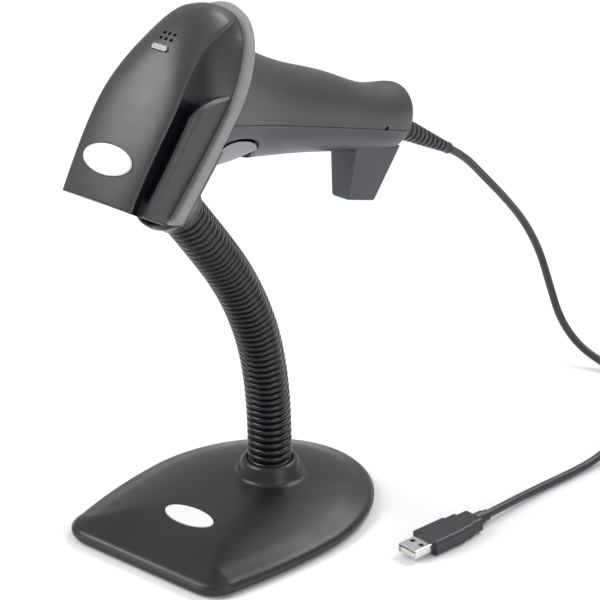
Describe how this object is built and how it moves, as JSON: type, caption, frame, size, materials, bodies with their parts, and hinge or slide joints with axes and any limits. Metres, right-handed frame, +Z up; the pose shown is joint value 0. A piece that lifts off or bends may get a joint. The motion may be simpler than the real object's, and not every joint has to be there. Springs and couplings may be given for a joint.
{
  "type": "handheld barcode scanner",
  "caption": "Handheld barcode scanner with a trigger handle, bumper ring and USB cable, resting in the cup of a flexible gooseneck desk stand.",
  "frame": {"origin": "centre of the stand's base outline, on the plane its feet stand on", "axes": "+Z up; -Y is the front, where the scan window looks forwards and down; +X is the right side seen from behind"},
  "size_m": [0.2257, 0.3455, 0.2703],
  "materials": {
    "base_plastic": "satin",
    "badge_film": "gloss",
    "base_sheet": "satin",
    "ballast_steel": "raw",
    "foot_rubber": "matte",
    "screw_steel": "satin",
    "plated_steel": "satin",
    "neck_plastic": "satin",
    "cup_plastic": "satin",
    "case_plastic": "satin",
    "bumper_rubber": "matte",
    "trigger_plastic": "satin",
    "light_guide": "gloss",
    "bezel_plastic": "gloss",
    "window_pane": "gloss",
    "engine_metal": "satin",
    "lens_glass": "gloss",
    "led_plastic": "gloss",
    "board_laminate": "satin",
    "black_plastic": "satin",
    "clear_plastic": "gloss",
    "cord_jacket": "matte",
    "tie_fabric": "woven",
    "shell_plate": "polished",
    "tongue_plastic": "satin",
    "contact_plate": "polished"
  },
  "bodies": {
    "base": {"base_cover": "base_plastic", "base_badge": "badge_film", "base_bottom_plate": "base_sheet", "base_weight": "ballast_steel", "base_feet": "foot_rubber", "base_screws": "screw_steel", "neck_ferrule": "plated_steel", "neck_nut": "plated_steel", "neck_link_1": "neck_plastic"},
    "neck_2": {"neck_link_2": "neck_plastic"},
    "neck_3": {"neck_link_3": "neck_plastic"},
    "neck_4": {"neck_link_4": "neck_plastic"},
    "neck_5": {"neck_link_5": "neck_plastic"},
    "neck_6": {"neck_link_6": "neck_plastic"},
    "cradle": {"neck_link_7": "neck_plastic", "cradle_cup": "cup_plastic", "cradle_pad": "foot_rubber", "cradle_screw": "screw_steel"},
    "scanner": {"head_top_cover": "case_plastic", "head_badge": "badge_film", "status_light": "light_guide", "bumper_ring": "bumper_rubber", "head_lower_housing": "case_plastic", "window_bezel": "bezel_plastic", "scan_window": "window_pane", "scan_engine_body": "engine_metal", "engine_lens": "lens_glass", "illumination_leds": "led_plastic", "engine_bracket": "plated_steel", "main_board": "board_laminate", "buzzer": "black_plastic", "housing_screws": "screw_steel", "handle_rear_shell": "case_plastic", "handle_front_shell": "case_plastic", "trigger_pin": "screw_steel", "trigger_spring": "screw_steel", "trigger_switch": "black_plastic", "handle_board": "board_laminate", "cable_jack": "black_plastic", "modular_plug": "clear_plastic", "handle_screws": "screw_steel", "strain_relief": "cord_jacket", "cord_drop": "cord_jacket", "cord_lead": "cord_jacket", "cord_coil": "cord_jacket", "coil_tie": "tie_fabric", "usb_shell": "shell_plate", "usb_tongue": "tongue_plastic", "usb_contacts": "contact_plate", "usb_overmold": "cord_jacket"},
    "trigger": {"trigger": "trigger_plastic"}
  },
  "joints": [
    {"name": "neck_tilt_1", "type": "hinge", "parent": "base", "child": "neck_2", "pos_m": [0, 0.0223, 0.041], "axis": [1, 0, 0], "range_deg": [-8, 8]},
    {"name": "neck_swing_1", "type": "hinge", "parent": "neck_2", "child": "neck_3", "pos_m": [0, 0.02021, 0.06491], "axis": [0, 0.989, 0.1478], "range_deg": [-4, 4]},
    {"name": "neck_tilt_2", "type": "hinge", "parent": "neck_3", "child": "neck_4", "pos_m": [0, 0.01522, 0.08838], "axis": [1, 0, 0], "range_deg": [-8, 8]},
    {"name": "neck_swing_2", "type": "hinge", "parent": "neck_4", "child": "neck_5", "pos_m": [0, 0.00623, 0.11064], "axis": [0, 0.8988, 0.4384], "range_deg": [-4, 4]},
    {"name": "neck_tilt_3", "type": "hinge", "parent": "neck_5", "child": "neck_6", "pos_m": [0, -0.00577, 0.13142], "axis": [1, 0, 0], "range_deg": [-8, 8]},
    {"name": "neck_swing_3", "type": "hinge", "parent": "neck_6", "child": "cradle", "pos_m": [0, -0.02022, 0.15059], "axis": [0, 0.7896, 0.6136], "range_deg": [-4, 4]},
    {"name": "scanner_lift", "type": "slide", "parent": "cradle", "child": "scanner", "axis": [0, -0.7536, 0.6574], "range_m": [0, 0.03]},
    {"name": "trigger_pull", "type": "hinge", "parent": "scanner", "child": "trigger", "pos_m": [0, -0.02543, 0.20869], "axis": [1, 0, 0], "range_deg": [0, 3.5], "stiffness_Nm_per_rad": 0.5, "springref_deg": -2.29}
  ],
  "couplings": [
    {"joint": "neck_tilt_2", "follows": "neck_tilt_1", "ratio": 1},
    {"joint": "neck_swing_2", "follows": "neck_swing_1", "ratio": 1},
    {"joint": "neck_tilt_3", "follows": "neck_tilt_1", "ratio": 1},
    {"joint": "neck_swing_3", "follows": "neck_swing_1", "ratio": 1}
  ]
}
